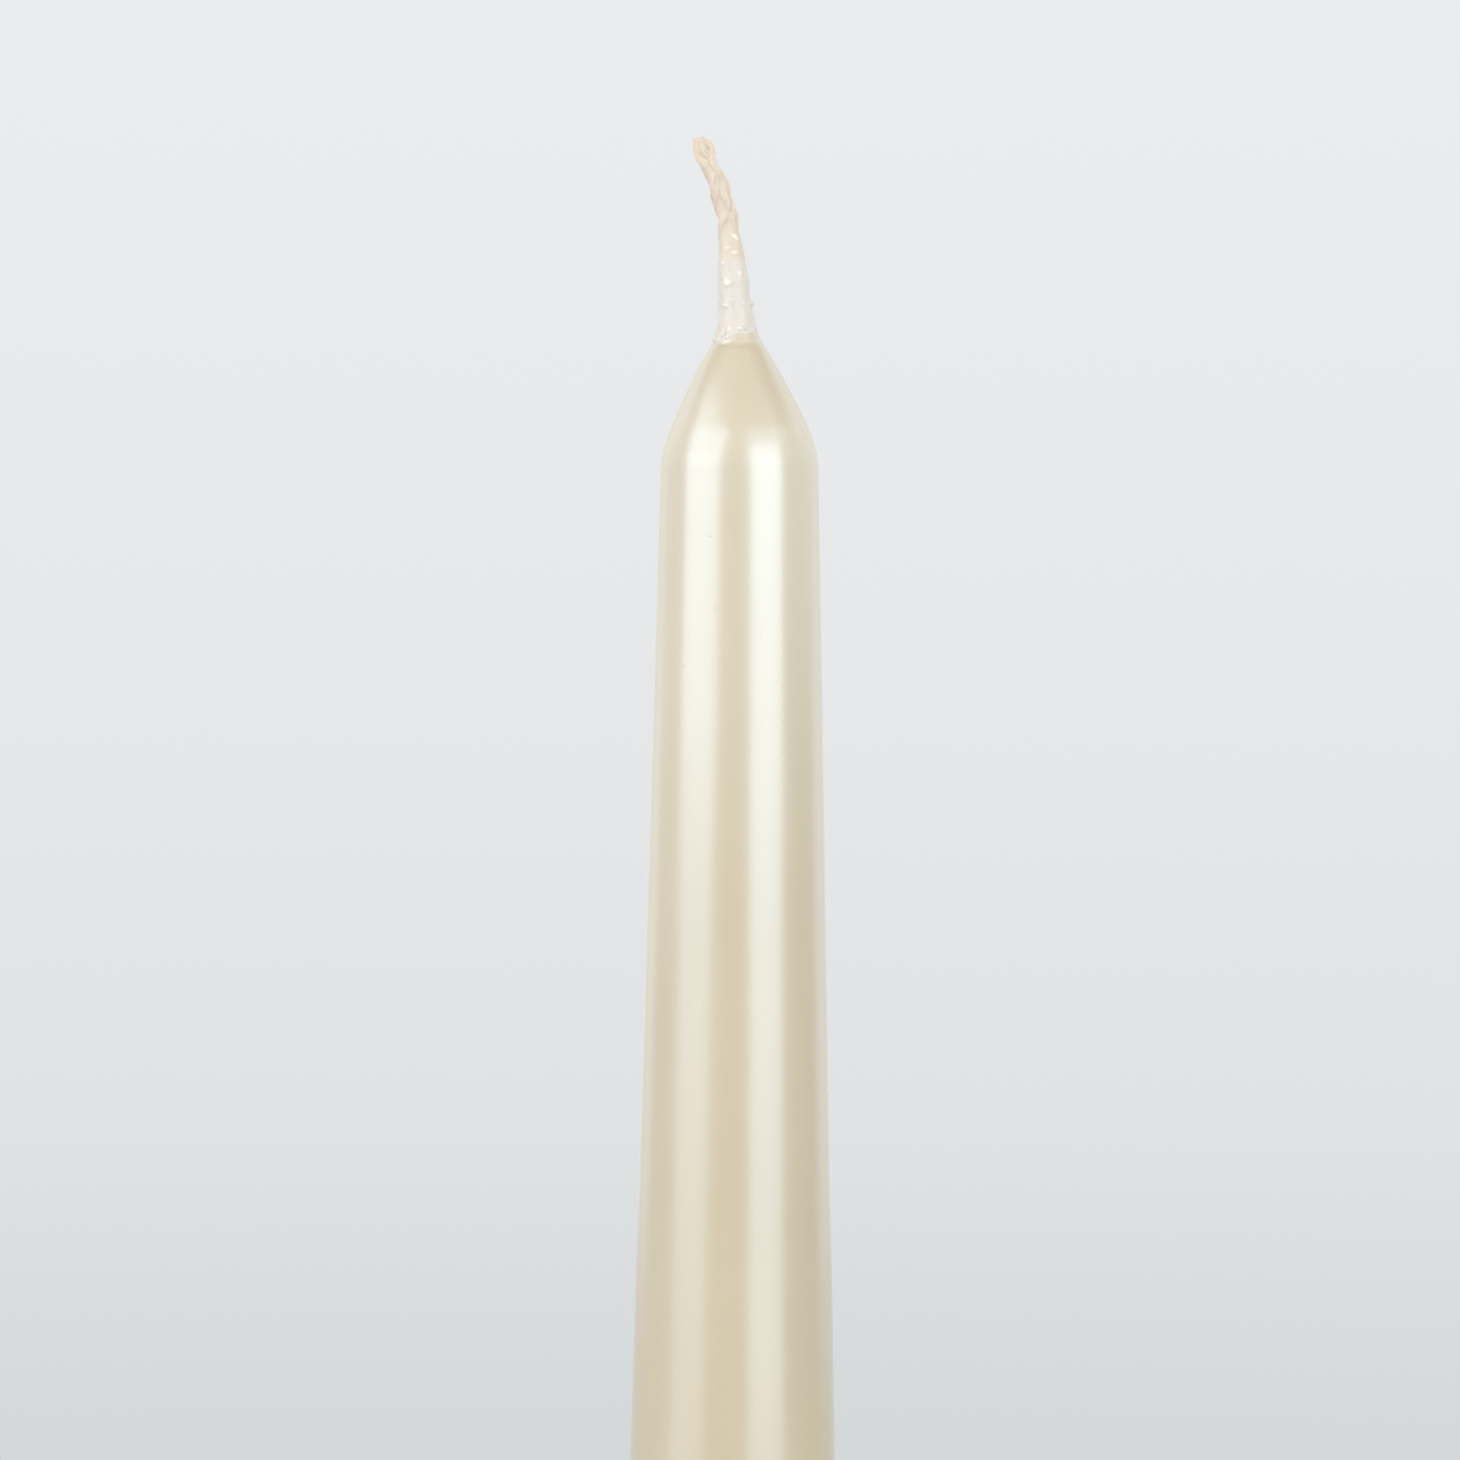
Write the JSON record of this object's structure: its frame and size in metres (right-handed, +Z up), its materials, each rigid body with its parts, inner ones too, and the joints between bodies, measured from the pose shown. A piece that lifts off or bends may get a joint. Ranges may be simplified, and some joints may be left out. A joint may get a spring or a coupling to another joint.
{
  "type": "taper candle",
  "caption": "Tall dinner candle with a pearly ivory lacquer, a pointed shoulder and a bent, waxed cotton wick; its straight foot stands in a candle socket.",
  "frame": {"origin": "centre of the flat underside of the foot", "axes": "+Z up along the candle to the wick; -X is the side that the wick leans towards; +Y away from the pictured side"},
  "size_m": [0.022, 0.022, 0.265],
  "materials": {
    "pearl_wax": "pearly ivory lacquer over wax, satin gloss",
    "cotton_wick": "plaited cotton, waxed"
  },
  "bodies": {
    "root": {"wax_body": "pearl_wax", "wick": "cotton_wick"}
  },
  "joints": []
}
